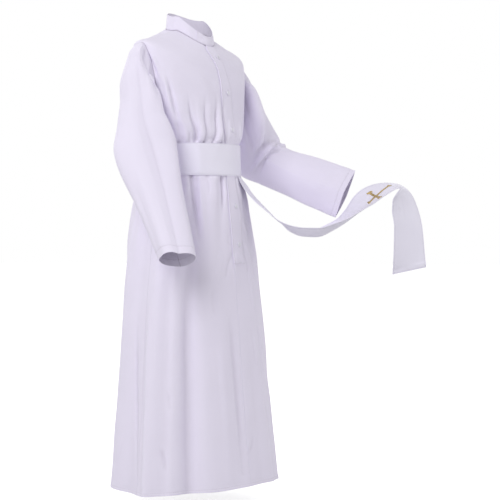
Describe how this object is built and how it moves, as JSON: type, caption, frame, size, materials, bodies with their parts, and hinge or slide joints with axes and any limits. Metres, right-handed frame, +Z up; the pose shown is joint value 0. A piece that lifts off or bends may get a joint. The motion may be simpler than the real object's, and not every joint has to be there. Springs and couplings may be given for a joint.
{
  "type": "cassock",
  "caption": "White ankle-length cassock worn with its belt, a band collar, a buttoned front and a gold cross on the belt's hanging tail",
  "frame": {"origin": "inside the neck, level with the high points of the shoulders, where the wearer carries the garment", "axes": "+X to the wearer's left, -Y to the front, +Z up"},
  "size_m": [0.7626, 0.7821, 1.4207],
  "materials": {
    "white_cloth": "fine plain-woven suiting, smooth and slightly silky",
    "white_button": "moulded, lightly polished",
    "gold_thread": "satin-stitched metallic thread"
  },
  "bodies": {
    "root": {"front_right": "white_cloth", "front_left": "white_cloth", "back": "white_cloth", "placket": "white_cloth", "collar": "white_cloth", "sleeve_right": "white_cloth", "sleeve_left": "white_cloth", "belt": "white_cloth", "belt_tail": "white_cloth", "belt_cross": "gold_thread", "button_1": "white_button", "button_2": "white_button", "button_3": "white_button", "button_5": "white_button", "button_6": "white_button"}
  },
  "joints": []
}
